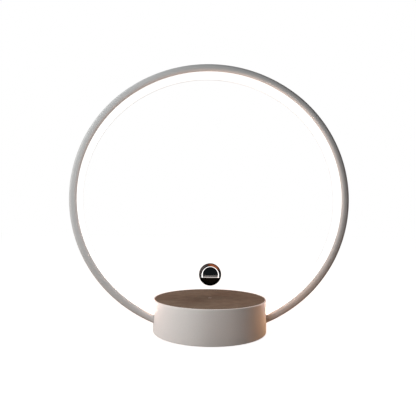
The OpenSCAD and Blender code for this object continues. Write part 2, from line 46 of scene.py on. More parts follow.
# 8-bit screen colour to the linear colour that the shaders take, by the usual screen curve
def tone(red, green, blue):
    c = np.array([red, green, blue]) / 255.0
    c = np.where(c <= 0.04045, c / 12.92, ((c + 0.055) / 1.055) ** 2.4)
    return (*c.tolist(), 1.0)


# Quads of a rows x cols grid of points counted row by row; a wrap joins the last line to the first
def gridQuads(rows, cols, wrapRows=False, wrapCols=False):
    i = np.arange(rows if wrapRows else rows - 1)[:, None]
    j = np.arange(cols if wrapCols else cols - 1)[None, :]
    down, right = (i + 1) % rows, (j + 1) % cols
    quads = np.stack(np.broadcast_arrays(i * cols + j, i * cols + right, down * cols + right, down * cols + j), -1)
    return quads.reshape(-1, 4)


# Closed outline with round corners: a corner is cut back by r / tan(half its angle) and bridged by an arc,
# and the arc's points are its two end spokes blended by sin((1 - s) w) and sin(s w) over sin(w)
def roundedOutline(corners, radii, steps):
    p = np.asarray(corners, float)
    r = np.broadcast_to(np.asarray(radii, float), (len(p),))[:, None]
    toLast = np.roll(p, 1, 0) - p
    toNext = np.roll(p, -1, 0) - p
    u = toLast / np.linalg.norm(toLast, axis=1, keepdims=True)
    v = toNext / np.linalg.norm(toNext, axis=1, keepdims=True)
    half = np.arccos(np.clip((u * v).sum(1), -1, 1))[:, None] / 2
    middle = u + v
    centre = p + middle / np.linalg.norm(middle, axis=1, keepdims=True) * r / np.sin(half)
    first = p + u * r / np.tan(half) - centre
    last = p + v * r / np.tan(half) - centre
    s = np.linspace(0, 1, steps + 1)[None, :, None]
    w = (math.pi - 2 * half)[:, :, None]
    arcs = (np.sin((1 - s) * w) * first[:, None] + np.sin(s * w) * last[:, None]) / np.sin(w)
    return (centre[:, None] + arcs).reshape(-1, 2)


# Outline of (radius, height) turned about +Z: x = r cos a, y = r sin a
def turned(outline, angles, closed):
    r, z = np.asarray(outline, float).T
    x = r[:, None] * np.cos(angles)
    y = r[:, None] * np.sin(angles)
    points = np.stack([x, y, np.broadcast_to(z[:, None], x.shape)], -1)
    return points.reshape(-1, 3), gridQuads(len(r), len(angles), closed, True)


# The same part at several places: each place is added to all its points
def placed(part, places):
    points, quads = part
    places = np.asarray(places, float)
    allPoints = (places[:, None] + points[None]).reshape(-1, 3)
    allQuads = (np.arange(len(places))[:, None, None] * len(points) + quads[None]).reshape(-1, 4)
    return allPoints, allQuads


# Angles of one full turn, evenly spaced
def roundTurn(count, start=0.0):
    return start + np.linspace(0, 2 * math.pi, count, endpoint=False)


# Four places on a circle, 45 degrees from the axes
def cornerPlaces(radius, height):
    a = np.radians([45, 135, 225, 315])
    return np.stack([radius * np.cos(a), radius * np.sin(a), np.full(4, height)], -1)


meshPlan = {"mergeGap": 2e-6, "sharpAngle": 38}                # metres and degrees


# Joins the parts into one mesh, closes poles, seams and open ends, and turns its faces outwards
def addPiece(name, parts, material, body, nodes):
    offsets = np.cumsum([0] + [len(part[0]) for part in parts])
    quads = np.concatenate([part[1] + start for part, start in zip(parts, offsets)])
    used, quads = np.unique(quads, return_inverse=True)
    points = np.concatenate([part[0] for part in parts])[used]
    mesh = bpy.data.meshes.new(name)
    mesh.from_pydata(points.tolist(), [], quads.reshape(-1, 4).tolist())
    work = bmesh.new()
    work.from_mesh(mesh)
    bmesh.ops.remove_doubles(work, verts=work.verts, dist=meshPlan["mergeGap"])
    bmesh.ops.holes_fill(work, edges=work.edges, sides=0)
    bmesh.ops.recalc_face_normals(work, faces=work.faces)
    work.to_mesh(mesh)
    work.free()
    mesh.shade_smooth()
    mesh.set_sharp_from_angle(angle=math.radians(meshPlan["sharpAngle"]))
    mesh.materials.append(material)
    piece = bpy.data.objects.new(name, mesh)
    scene.collection.objects.link(piece)
    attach(piece, body)
    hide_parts(*nodes)
    return piece


# Shared shader groups

def addGroup(name, inputs, outputs):
    group = bpy.data.node_groups.new(name, "ShaderNodeTree")
    for label, kind, value in inputs:
        socket = group.interface.new_socket(label, in_out="INPUT", socket_type=kind)
        socket.default_value = value
    for label, kind in outputs:
        group.interface.new_socket(label, in_out="OUTPUT", socket_type=kind)
    return group, group.nodes.new("NodeGroupInput"), group.nodes.new("NodeGroupOutput")


# Another node's output is linked to the socket, a number or colour is set on it
def feed(tree, socket, value):
    if isinstance(value, bpy.types.NodeSocket):
        tree.links.new(value, socket)
    else:
        socket.default_value = value


def addMath(tree, operation, first, second=0.0):
    node = tree.nodes.new("ShaderNodeMath")
    node.operation = operation
    feed(tree, node.inputs[0], first)
    feed(tree, node.inputs[1], second)
    return node.outputs["Value"]


def addNoise(tree, place, scale, detail):
    node = tree.nodes.new("ShaderNodeTexNoise")
    for label, value in (("Vector", place), ("Scale", scale), ("Detail", detail)):
        feed(tree, node.inputs[label], value)
    return node.outputs["Fac"]


def addRange(tree, value, low, high, toLow, toHigh):
    node = tree.nodes.new("ShaderNodeMapRange")
    labels = ("Value", "From Min", "From Max", "To Min", "To Max")
    for label, given in zip(labels, (value, low, high, toLow, toHigh)):
        feed(tree, node.inputs[label], given)
    return node.outputs["Result"]


# The mix node's colours are its inputs 6 and 7 and its output 2
def addMix(tree, factor, first, second):
    node = tree.nodes.new("ShaderNodeMix")
    node.data_type = "RGBA"
    feed(tree, node.inputs["Factor"], factor)
    feed(tree, node.inputs[6], first)
    feed(tree, node.inputs[7], second)
    return node.outputs[2]


def objectPlace(tree):
    return tree.nodes.new("ShaderNodeTexCoord").outputs["Object"]


def objectAxis(tree, axis):
    split = tree.nodes.new("ShaderNodeSeparateXYZ")
    tree.links.new(objectPlace(tree), split.inputs["Vector"])
    return split.outputs[axis]


grainPlan = {
    "cloudDetail": 3, "cloudShare": 0.55, "grainDetail": 2, "grainShare": 0.45,
    "contrast": (0.35, 0.65), "roughSpread": (0.3, 0.7),
    "underPattern": 0.3,                                       # how much of the grain's height a pattern leaves
}


# Two colours and two roughnesses mixed by coarse clouds and a fine grain, with the grain as height
def makeGrain():
    tree, given, out = addGroup(
        "surfaceGrain",
        [("Tint", "NodeSocketColor", (1, 1, 1, 1)), ("Shade", "NodeSocketColor", (0, 0, 0, 1)),
         ("Cloud Scale", "NodeSocketFloat", 20.0), ("Grain Scale", "NodeSocketFloat", 900.0),
         ("Rough Low", "NodeSocketFloat", 0.3), ("Rough High", "NodeSocketFloat", 0.5)],
        [("Color", "NodeSocketColor"), ("Roughness", "NodeSocketFloat"), ("Height", "NodeSocketFloat")])
    place = objectPlace(tree)
    cloud = addNoise(tree, place, given.outputs["Cloud Scale"], grainPlan["cloudDetail"])
    grain = addNoise(tree, place, given.outputs["Grain Scale"], grainPlan["grainDetail"])
    blend = addMath(tree, "ADD", addMath(tree, "MULTIPLY", cloud, grainPlan["cloudShare"]),
                    addMath(tree, "MULTIPLY", grain, grainPlan["grainShare"]))
    spread = addRange(tree, blend, *grainPlan["contrast"], 0.0, 1.0)
    tree.links.new(addMix(tree, spread, given.outputs["Tint"], given.outputs["Shade"]), out.inputs["Color"])
    rough = addRange(tree, cloud, *grainPlan["roughSpread"], given.outputs["Rough Low"], given.outputs["Rough High"])
    tree.links.new(rough, out.inputs["Roughness"])
    tree.links.new(grain, out.inputs["Height"])
    return tree


# Fine bands across Z, as the turns of a winding or the passes of a lathe
def makeBands():
    tree, given, out = addGroup("turnBands", [("Pitch", "NodeSocketFloat", 0.0005)], [("Mask", "NodeSocketFloat")])
    turns = addMath(tree, "DIVIDE", objectAxis(tree, "Z"), given.outputs["Pitch"])
    wave = addMath(tree, "SINE", addMath(tree, "MULTIPLY", turns, 2 * math.pi))
    tree.links.new(addRange(tree, wave, -1.0, 1.0, 0.0, 1.0), out.inputs["Mask"])
    return tree


tracePlan = {
    "shift": 0.37, "squash": 1.6, "lineWidth": 0.035,
    "field": (0, 0, 0, 1), "otherField": (0.15, 0.15, 0.15, 1), "line": (1, 1, 1, 1),
}


# Square runs of conductor under a board's lacquer
def makeTraces():
    tree, given, out = addGroup("boardTraces", [("Cell", "NodeSocketFloat", 400.0)], [("Mask", "NodeSocketFloat")])
    brick = tree.nodes.new("ShaderNodeTexBrick")
    brick.offset = tracePlan["shift"]
    brick.squash = tracePlan["squash"]
    sockets = {
        "Vector": objectPlace(tree), "Scale": given.outputs["Cell"], "Mortar Size": tracePlan["lineWidth"],
        "Color1": tracePlan["field"], "Color2": tracePlan["otherField"], "Mortar": tracePlan["line"]}
    for label, value in sockets.items():
        feed(tree, brick.inputs[label], value)
    tree.links.new(brick.outputs["Color"], out.inputs["Mask"])
    return tree


grainGroup = makeGrain()
bandGroup = makeBands()
traceGroup = makeTraces()
print("shader groups made")


def newMaterial(name):
    material = bpy.data.materials.new(name)
    material.use_nodes = True
    tree = material.node_tree
    return material, tree, tree.nodes["Principled BSDF"]


# One finish: the grain group drives colour, roughness and a small bump; the rest is set on the shader
def addFinish(name, plan):
    material, tree, shader = newMaterial(name)
    grain = tree.nodes.new("ShaderNodeGroup")
    grain.node_tree = grainGroup
    grain.inputs["Tint"].default_value = plan["tint"]
    grain.inputs["Shade"].default_value = plan["shade"]
    grain.inputs["Cloud Scale"].default_value = plan["cloud"]
    grain.inputs["Grain Scale"].default_value = plan["grain"]
    grain.inputs["Rough Low"].default_value, grain.inputs["Rough High"].default_value = plan["rough"]
    colour = grain.outputs["Color"]
    height = grain.outputs["Height"]
    if "over" in plan:
        pattern = tree.nodes.new("ShaderNodeGroup")
        pattern.node_tree = plan["pattern"]
        pattern.inputs[0].default_value = plan["patternSize"]
        colour = addMix(tree, pattern.outputs["Mask"], colour, plan["over"])
        under = addMath(tree, "MULTIPLY", height, grainPlan["underPattern"])
        height = addMath(tree, "ADD", pattern.outputs["Mask"], under)
    tree.links.new(colour, shader.inputs["Base Color"])
    tree.links.new(grain.outputs["Roughness"], shader.inputs["Roughness"])
    bump = tree.nodes.new("ShaderNodeBump")
    bump.inputs["Strength"].default_value = plan["bump"]
    bump.inputs["Distance"].default_value = plan["bumpDepth"]
    tree.links.new(height, bump.inputs["Height"])
    tree.links.new(bump.outputs["Normal"], shader.inputs["Normal"])
    shader.inputs["Metallic"].default_value = plan.get("metal", 0.0)
    for label, value in plan.get("sockets", {}).items():
        shader.inputs[label].default_value = value
    return material


paintFinish = addFinish("warmWhitePaint", {
    "tint": tone(232, 229, 227), "shade": tone(226, 222, 219), "cloud": 14.0, "grain": 1500.0,
    "rough": (0.5, 0.6), "bump": 0.05, "bumpDepth": 0.00002,
    "sockets": {"Specular IOR Level": 0.12}})
# The hoop's paint is the base's paint made darker and less warm: painted shade that dims the hoop's lit front beside
# the base's wall
hoopShadedPaint = addFinish("whitePaintShadedForHoop", {
    "tint": tone(215, 214, 214), "shade": tone(209, 207, 206), "cloud": 14.0, "grain": 1500.0,
    "rough": (0.5, 0.6), "bump": 0.05, "bumpDepth": 0.00002,
    "sockets": {"Specular IOR Level": 0.12}})
plateFinish = addFinish("brownSatinPlate", {
    "tint": tone(120, 107, 93), "shade": tone(109, 96, 83), "cloud": 110.0, "grain": 700.0,
    "rough": (0.55, 0.65), "bump": 0.1, "bumpDepth": 0.00004,
    "sockets": {"Specular IOR Level": 0.04}})
lensFinish = addFinish("opalLens", {
    "tint": tone(182, 166, 154), "shade": tone(170, 154, 142), "cloud": 300.0, "grain": 2500.0,
    "rough": (0.25, 0.35), "bump": 0.05, "bumpDepth": 0.00002})
rubberFinish = addFinish("softRubber", {
    "tint": tone(38, 37, 37), "shade": tone(52, 50, 49), "cloud": 120.0, "grain": 2200.0,
    "rough": (0.75, 0.9), "bump": 0.35, "bumpDepth": 0.00008})
steelFinish = addFinish("zincSteel", {
    "tint": tone(178, 181, 184), "shade": tone(150, 154, 158), "cloud": 220.0, "grain": 2600.0,
    "rough": (0.28, 0.42), "bump": 0.1, "bumpDepth": 0.00003, "metal": 1.0})
plasticFinish = addFinish("mouldedBlack", {
    "tint": tone(40, 40, 42), "shade": tone(30, 30, 32), "cloud": 60.0, "grain": 1600.0,
    "rough": (0.5, 0.66), "bump": 0.3, "bumpDepth": 0.00008})
nylonFinish = addFinish("paleNylon", {
    "tint": tone(232, 227, 210), "shade": tone(218, 212, 194), "cloud": 110.0, "grain": 1400.0,
    "rough": (0.4, 0.55), "bump": 0.12, "bumpDepth": 0.00005})
boardFinish = addFinish("lacqueredBoard", {
    "tint": tone(27, 84, 55), "shade": tone(22, 70, 46), "cloud": 80.0, "grain": 1200.0,
    "rough": (0.25, 0.38), "bump": 0.15, "bumpDepth": 0.00003,
    "pattern": traceGroup, "patternSize": 160.0, "over": tone(54, 118, 78)})
brassFinish = addFinish("turnedBrass", {
    "tint": tone(206, 170, 88), "shade": tone(186, 150, 74), "cloud": 140.0, "grain": 2000.0,
    "rough": (0.22, 0.36), "bump": 0.2, "bumpDepth": 0.00003, "metal": 1.0,
    "pattern": bandGroup, "patternSize": 0.0004, "over": tone(176, 140, 66)})
copperFinish = addFinish("woundCopper", {
    "tint": tone(196, 118, 66), "shade": tone(168, 94, 50), "cloud": 160.0, "grain": 1500.0,
    "rough": (0.25, 0.4), "bump": 0.9, "bumpDepth": 0.00012, "metal": 1.0,
    "pattern": bandGroup, "patternSize": 0.0005, "over": tone(120, 62, 32)})
ferriteFinish = addFinish("darkFerrite", {
    "tint": tone(74, 75, 80), "shade": tone(56, 57, 62), "cloud": 130.0, "grain": 1700.0,
    "rough": (0.55, 0.72), "bump": 0.3, "bumpDepth": 0.00006})
chipFinish = addFinish("phosphorLight", {
    "tint": tone(244, 226, 150), "shade": tone(236, 214, 128), "cloud": 400.0, "grain": 2400.0,
    "rough": (0.45, 0.6), "bump": 0.2, "bumpDepth": 0.00004})
stripFinish = addFinish("whiteStrip", {
    "tint": tone(240, 240, 238), "shade": tone(228, 228, 226), "cloud": 90.0, "grain": 1500.0,
    "rough": (0.4, 0.5), "bump": 0.1, "bumpDepth": 0.00003,
    "pattern": traceGroup, "patternSize": 100.0, "over": tone(208, 176, 120)})
wireFinish = addFinish("redWire", {
    "tint": tone(178, 58, 46), "shade": tone(158, 46, 38), "cloud": 200.0, "grain": 1800.0,
    "rough": (0.38, 0.5), "bump": 0.12, "bumpDepth": 0.00004})
sleeveFinish = addFinish("blueSleeve", {
    "tint": tone(62, 74, 100), "shade": tone(50, 62, 86), "cloud": 180.0, "grain": 1500.0,
    "rough": (0.3, 0.42), "bump": 0.1, "bumpDepth": 0.00004})


# Chrome whose base colour is painted dark under the ball's widest part, over a short range of heights: painted shade
# that stands in for the dark reflection on the lower half
def addChromeShadedBelow(name, plan):
    material = addFinish(name, plan)
    tree = material.node_tree
    shader = tree.nodes["Principled BSDF"]
    upper = shader.inputs["Base Color"].links[0].from_socket
    fade = addRange(tree, objectAxis(tree, "Z"), *plan["fade"], 0.0, 1.0)
    tree.links.new(addMix(tree, fade, plan["under"], upper), shader.inputs["Base Color"])
    return material


chromeShadedBelow = addChromeShadedBelow("chromeWithPaintedShadeBelow", {
    "tint": (0.56, 0.563, 0.57, 1), "shade": (0.54, 0.543, 0.55, 1), "cloud": 90.0, "grain": 700.0,
    "rough": (0.01, 0.03), "bump": 0.02, "bumpDepth": 0.00001, "metal": 1.0,
    # under is the painted shade colour of the lower half, and fade gives the heights over which it takes over
    "under": (0.03, 0.031, 0.034, 1), "fade": (0.0575, 0.0583),
    "sockets": {"Specular Tint": (0.02, 0.02, 0.02, 1)}})


# The diffuser lights its surroundings a warm white, less at its two long edges and more near the base,
# and it looks plain white to the camera and in reflections
def addGlow(name, plan):
    material = addFinish(name, plan)
    tree = material.node_tree
    shader = tree.nodes["Principled BSDF"]
    across = addMath(tree, "ABSOLUTE", objectAxis(tree, "Y"))
    glow = addMix(tree, addRange(tree, across, plan["flat"], plan["half"], 0.0, 1.0), plan["glow"], plan["glowEdge"])
    glow = addMix(tree, addRange(tree, objectAxis(tree, "Z"), *plan["foot"], 0.0, 1.0), plan["glowFoot"], glow)
    path = tree.nodes.new("ShaderNodeLightPath")
    glow = addMix(tree, path.outputs["Is Glossy Ray"], glow, plan["shine"])
    look = addMix(tree, path.outputs["Is Camera Ray"], glow, plan["look"])
    tree.links.new(look, shader.inputs["Emission Color"])
    shader.inputs["Emission Strength"].default_value = plan["strength"]
    material.cycles.emission_sampling = "FRONT"
    return material


opalPlan = {
    "tint": tone(250, 247, 240), "shade": tone(244, 240, 232), "cloud": 30.0, "grain": 1400.0,
    "rough": (0.4, 0.5), "bump": 0.05, "bumpDepth": 0.00003,
    "glow": (1.0, 0.57, 0.485, 1), "glowEdge": (0.5, 0.285, 0.242, 1), "glowFoot": (2.9, 2.05, 1.75, 1),
    "look": (0.175, 0.18, 0.18, 1), "shine": (0.5, 0.49, 0.48, 1), "strength": 5.45,
    "flat": 0.0065, "half": 0.0107, "foot": (0.03, 0.05)}
glowFinish = addGlow("litOpal", opalPlan)
opalFinish = addFinish("plainOpal", opalPlan)
print("finishes made:", len(bpy.data.materials))


# Hoop: a rounded section with the light's recess, carried along an oval of arcs

hoopPlan = {
    "span": 0.304, "rise": 0.2944, "meet": math.asin(0.6),     # width, height, angle where its arcs meet
    "thick": 0.008, "depth": 0.029, "edge": 0.00345,
    "endX": 0.0545, "floor": 0.0085,                           # where its ends stand in the base
    "recess": 0.0027, "recessHalf": 0.0095,                    # depths are counted from the outer face
    "shoulder": 0.0059, "shoulderHalf": 0.011,
    "light": (0.006, 0.008), "lightHalf": 0.01095, "lightEdge": 0.0001, "lightStart": 0.05975,
    "fineEdge": 0.00003, "segments": 288, "cornerSteps": 8,
    "shineCosine": 0.5,                                        # faces nearer to straight inwards than this shine
}
hoopPlan["step"] = ((hoopPlan["span"] - hoopPlan["rise"]) / 2
                    / (math.sin(hoopPlan["meet"]) + math.cos(hoopPlan["meet"]) - 1))
hoopPlan["radius"] = hoopPlan["span"] / 2 + hoopPlan["step"] * (1 - math.sin(hoopPlan["meet"]))
hoopPlan["middle"] = hoopPlan["floor"] + math.sqrt(hoopPlan["radius"] ** 2 - hoopPlan["endX"] ** 2)


# Section point (t, y), t deep under the outer face, at angle a from straight down: x = cx + (R - t) sin a and
# z = cz - (R - t) cos a, where the lower and upper arcs have the radius R and those at the sides R - step
def alongHoop(outline, angles):
    t, y = outline.T
    step, meet = hoopPlan["step"], hoopPlan["meet"]
    fromDown = np.minimum(angles, 2 * math.pi - angles)
    atSide = (fromDown > meet) & (fromDown < math.pi - meet)
    atTop = fromDown >= math.pi - meet
    centreX = np.where(atSide, np.sign(math.pi - angles) * step * math.sin(meet), 0.0)
    centreZ = hoopPlan["middle"] - step * math.cos(meet) * (atSide + 2.0 * atTop)
    reach = hoopPlan["radius"] - step * atSide - t[:, None]
    x = centreX + reach * np.sin(angles)
    z = centreZ - reach * np.cos(angles)
    points = np.stack([x, np.broadcast_to(y[:, None], x.shape), z], -1)
    return points.reshape(-1, 3), gridQuads(len(t), len(angles), True, False)


# Section of the hoop: a bar with round outer corners and a stepped recess in its inner face
def hoopSection(plan):
    inner, half = plan["thick"], plan["depth"] / 2
    lip, lipHalf, deep, deepHalf = plan["shoulder"], plan["shoulderHalf"], plan["recess"], plan["recessHalf"]
    corners = [
        (0, -half), (0, half), (inner, half), (inner, lipHalf), (lip, lipHalf), (lip, deepHalf),
        (deep, deepHalf), (deep, -deepHalf), (lip, -deepHalf), (lip, -lipHalf), (inner, -lipHalf), (inner, -half)]
    fine, wide = [plan["fineEdge"]], [plan["edge"]]
    radii = wide * 3 + fine * 8 + wide
    return roundedOutline(corners, radii, plan["cornerSteps"])


# Section of the diffuser: a flat strip that lies in the recess
def lightSection(plan):
    near, far, half = *plan["light"], plan["lightHalf"]
    corners = [(near, -half), (near, half), (far, half), (far, -half)]
    return roundedOutline(corners, plan["lightEdge"], plan["cornerSteps"])


# Angles from one end of the hoop over its top to the other
def hoopAngles(start):
    return np.linspace(start, 2 * math.pi - start, hoopPlan["segments"] + 1)


hoopStart = math.asin(hoopPlan["endX"] / hoopPlan["radius"])
lightStart = math.asin(hoopPlan["lightStart"] / (hoopPlan["radius"] - hoopPlan["thick"]))
hoopBody = addPiece("hoopBody", [alongHoop(hoopSection(hoopPlan), hoopAngles(hoopStart))],
                    hoopShadedPaint, "lamp", ["hoop_channel"])
hoopLight = addPiece("hoopLight", [alongHoop(lightSection(hoopPlan), hoopAngles(lightStart))],
                     glowFinish, "lamp", ["hoop_diffuser"])


# Only the faces that look to the hoop's middle shine: normal . inwards > cosine x |inwards|
def splitShine(piece, plan):
    faces = piece.data.polygons
    centres, normals = np.empty((2, 3 * len(faces)), np.float32)
    faces.foreach_get("center", centres)
    faces.foreach_get("normal", normals)
    inwards = np.array([0, 0, plan["floor"] + plan["rise"] / 2]) - centres.reshape(-1, 3) * [1, 0, 1]
    facing = (normals.reshape(-1, 3) * inwards).sum(1)
    shines = facing > plan["shineCosine"] * np.linalg.norm(inwards, axis=1)
    faces.foreach_set("material_index", np.where(shines, 0, 1).astype(np.int32))


hoopLight.data.materials.append(opalFinish)
splitShine(hoopLight, hoopPlan)
print("hoop made")


# Base: a turned wall with two slots for the hoop and a round opening for the power inlet

basePlan = {
    "radius": 0.061, "inside": 0.0585, "bottom": 0.001, "top": 0.035, "bevel": 0.0006,
    "rim": 0.0598, "seat": 0.032, "ledge": 0.0548, "ledgeUnder": 0.030,
    "slotGap": 0.0003, "edgeBreak": 0.00025,
    "rimEdge": 0.0001, "inletR": 0.0043, "inletZ": 0.0151,
    "boss": (0.0016, 0.004), "bossCircle": 0.0547, "bossFoot": 0.003, "bossEdge": 0.0001,
    "turns": 360, "start": -math.pi / 2, "levelStep": 0.001,
    # boxes of the wall round the openings: middle and half width in degrees from the front, heights
    "slotRight": 90, "slotLeft": 270, "slotSpan": 18, "slotLevels": (0.0075, 0.0228),
    "inletBack": 180, "inletSpan": 7, "inletLevels": (0.0085, 0.0215),
    "slotSteps": 16, "edgeSamples": 4000, "patchRows": 5, "breakSteps": 5, "bevelSteps": 6,
    "bossTurns": 48, "bossSteps": 3,
}


# Point at a share (0 to 1) of the way through a closed line's points
def alongClosed(line, share):
    place = (share % 1.0) * len(line)
    low = np.floor(place).astype(int) % len(line)
    part = (place - np.floor(place))[:, None]
    return line[low] * (1 - part) + line[(low + 1) % len(line)] * part


# Slot's edge on a cylinder of that radius: the hoop's section, widened, gives (rho, y),
# then x = sqrt(radius^2 - y^2) and z = middle - sqrt(rho^2 - x^2)
def slotEdge(share, radius, grow, side):
    gap = basePlan["slotGap"] + grow
    low, high = hoopPlan["radius"] - hoopPlan["thick"] - gap, hoopPlan["radius"] + gap
    half = hoopPlan["depth"] / 2 + gap
    corners = [(low, -half), (high, -half), (high, half), (low, half)]
    line = roundedOutline(corners, hoopPlan["edge"] + gap, basePlan["slotSteps"])
    rho, y = alongClosed(line, share).T
    x = np.sqrt(radius ** 2 - y ** 2)
    return np.stack([side * x, y, hoopPlan["middle"] - np.sqrt(rho ** 2 - x ** 2)], -1)


# Round opening at the back: x and z go round a circle, y = sqrt(radius^2 - x^2)
def inletEdge(share, radius, grow):
    a = 2 * math.pi * share
    x = (basePlan["inletR"] + grow) * np.cos(a)
    z = basePlan["inletZ"] + (basePlan["inletR"] + grow) * np.sin(a)
    return np.stack([x, np.sqrt(radius ** 2 - x ** 2), z], -1)


# Angle, counted on from the wall's first column, and height of points on the wall
def wallPlace(points):
    a = (np.arctan2(points[:, 1], points[:, 0]) - basePlan["start"]) % (2 * math.pi) + basePlan["start"]
    return np.stack([a, points[:, 2]], -1)


# Angle and height back to a point: x = radius cos a, y = radius sin a
def onWall(place, radius):
    return np.stack([radius * np.cos(place[..., 0]), radius * np.sin(place[..., 0]), place[..., 1]], -1)


# Corner-to-corner walk round a box of grid lines, each point once
def boxWalk(turns, levels, span):
    t0, t1, k0, k1 = span
    a = np.concatenate([turns[t0:t1], np.full(k1 - k0, turns[t1]), turns[t1:t0:-1], np.full(k1 - k0, turns[t0])])
    z = np.concatenate([np.full(t1 - t0, levels[k0]), levels[k0:k1], np.full(t1 - t0, levels[k1]), levels[k1:k0:-1]])
    return np.stack([a, z], -1)


# Shares of the opening's edge that lie in the same direction from its middle as the box's points
def matchShares(edge, radius, walk):
    share = np.linspace(0, 1, basePlan["edgeSamples"], endpoint=False)
    centre = (walk.min(0) + walk.max(0)) / 2
    scale = (walk.max(0) - walk.min(0)) / 2
    seen = (wallPlace(edge(share, radius, 0.0)) - centre) / scale
    wanted = (walk - centre) / scale
    turn = np.interp(np.arctan2(wanted[:, 1], wanted[:, 0]), np.arctan2(seen[:, 1], seen[:, 0]),
                     np.exp(2j * math.pi * share), period=2 * math.pi)
    return np.angle(turn) / (2 * math.pi)


# Patch between an opening's edge and the box round it: each row is a share of the way from one to the other
def wallPatch(edge, share, radius, grow, walk):
    near = wallPlace(edge(share, radius, grow))
    rows = np.linspace(0, 1, basePlan["patchRows"])[:, None, None]
    place = near[None] + (walk - near)[None] * rows
    return onWall(place, radius).reshape(-1, 3), gridQuads(len(rows), len(walk), False, True)


# Edge of an opening through the wall: a broken corner outside, then straight in along the section
def wallCollar(edge, share):
    cut = basePlan["edgeBreak"]
    bend = np.linspace(0, math.pi / 2, basePlan["breakSteps"])
    depth = np.append(cut * (1 - np.cos(bend)), basePlan["radius"] - basePlan["inside"])
    grow = np.append(cut * (1 - np.sin(bend)), 0.0)
    rings = [edge(share, basePlan["radius"] - d, g) for d, g in zip(depth, grow)]
    return np.concatenate(rings), gridQuads(len(rings), len(share), False, True)


# Plain wall: a grid of turns and levels with the boxes of the openings left out
def plainWall(radius, turns, levels, spans):
    a, z = np.meshgrid(turns, levels)
    quads = gridQuads(len(levels), len(turns), False, True).reshape(len(levels) - 1, len(turns), 4)
    keep = np.ones(quads.shape[:2], bool)
    for t0, t1, k0, k1 in spans:
        keep[k0:k1, t0:t1] = False
    return onWall(np.stack([a, z], -1), radius).reshape(-1, 3), quads[keep]


# Heights from bottom to top in about equal steps, with the given lines among them
def levelsWith(bottom, top, lines, step):
    stops = np.array(sorted([bottom, top, *lines]))
    counts = np.maximum(1, np.round(np.diff(stops) / step)).astype(int)
    runs = [np.linspace(a, b, n, endpoint=False) for a, b, n in zip(stops[:-1], stops[1:], counts)]
    return np.append(np.concatenate(runs), top)


# Outer and inner wall with their openings, the turned top and bottom edges, and four screw bosses;
# the edges are quarter rounds r = R - b + b cos t, z = b sin t
def makeBase(plan):
    turns = roundTurn(plan["turns"], plan["start"])
    perDegree = plan["turns"] / 360
    openings = [
        (lambda s, r, g: slotEdge(s, r, g, 1), plan["slotRight"], plan["slotSpan"], plan["slotLevels"]),
        (lambda s, r, g: slotEdge(s, r, g, -1), plan["slotLeft"], plan["slotSpan"], plan["slotLevels"]),
        (inletEdge, plan["inletBack"], plan["inletSpan"], plan["inletLevels"])]
    lines = [*plan["slotLevels"], *plan["inletLevels"]]
    parts = []
    walls = [(plan["radius"], plan["bottom"] + plan["bevel"], plan["top"] - plan["bevel"], plan["edgeBreak"]),
             (plan["inside"], plan["bottom"], plan["ledgeUnder"], 0.0)]
    shares = {}
    for radius, bottom, top, grow in walls:
        levels = levelsWith(bottom, top, lines, plan["levelStep"])
        spans = []
        for k, (edge, middle, half, (low, high)) in enumerate(openings):
            span = (int((middle - half) * perDegree), int((middle + half) * perDegree),
                    int(np.argmin(abs(levels - low))), int(np.argmin(abs(levels - high))))
            walk = boxWalk(turns, levels, span)
            if k not in shares:
                shares[k] = matchShares(edge, radius, walk)
                parts.append(wallCollar(edge, shares[k]))
            parts.append(wallPatch(edge, shares[k], radius, grow, walk))
            spans.append(span)
        parts.append(plainWall(radius, turns, levels, spans))
    bend = np.linspace(0, math.pi / 2, plan["bevelSteps"])
    r, b, fine, bottom, top = plan["radius"], plan["bevel"], plan["rimEdge"], plan["bottom"], plan["top"]
    softEdge = np.stack([r - b + b * np.cos(bend), b * np.sin(bend)], -1)
    rimEdge = np.stack([plan["rim"] + fine * (1 - np.sin(bend)), top - fine * (1 - np.cos(bend))], -1)
    topLine = np.concatenate([
        softEdge + [0, top - b], rimEdge,
        [(plan["rim"], plan["seat"]), (plan["ledge"], plan["seat"]),
         (plan["ledge"], plan["ledgeUnder"]), (plan["inside"], plan["ledgeUnder"])]])
    bottomLine = np.concatenate([[(plan["inside"], bottom)], (softEdge * [1, -1] + [0, bottom + b])[::-1]])
    parts += [turned(topLine, turns, False), turned(bottomLine, turns, False)]
    (low, high), foot, head = plan["boss"], plan["bossFoot"], plan["ledgeUnder"]
    tube = roundedOutline([(low, foot), (high, foot), (high, head), (low, head)], plan["bossEdge"], plan["bossSteps"])
    parts.append(placed(turned(tube, roundTurn(plan["bossTurns"]), True), cornerPlaces(plan["bossCircle"], 0.0)))
    return parts


addPiece("baseBody", makeBase(basePlan), paintFinish, "lamp", ["base_shell"])
print("base made")


# Top plate and its light window

platePlan = {
    "radius": 0.05965, "bottom": 0.032, "top": 0.035,
    "hole": 0.0021, "flangeHole": 0.0031, "flangeTop": 0.0331,
    "edges": (0.0001, 0.0002, 0.00045, 0.00008, 0.00005, 0.00005), "edgeSteps": 6, "turns": 240,
    "lensR": 0.002, "lensFlangeR": 0.003, "lensFlangeTop": 0.033, "lensCrown": 0.0001,
    "lensRows": 9, "lensTurns": 64,
}


# Plate: a disc with a stepped hole for the window, each corner with a round of its own
def plateOutline(plan):
    corners = [(plan["flangeHole"], plan["bottom"]), (plan["radius"], plan["bottom"]),
               (plan["radius"], plan["top"]), (plan["hole"], plan["top"]),
               (plan["hole"], plan["flangeTop"]), (plan["flangeHole"], plan["flangeTop"])]
    return roundedOutline(corners, plan["edges"], plan["edgeSteps"])


# Window: a crowned top z = top - crown (r / R)^2, then a wall and a flange under the plate
def lensOutline(plan):
    r = np.linspace(0, plan["lensR"], plan["lensRows"])
    crown = np.stack([r, plan["top"] - plan["lensCrown"] * (r / plan["lensR"]) ** 2], -1)
    rest = [(plan["lensR"], plan["lensFlangeTop"]), (plan["lensFlangeR"], plan["lensFlangeTop"]),
            (plan["lensFlangeR"], plan["bottom"]), (0.0, plan["bottom"])]
    return np.concatenate([crown, rest])


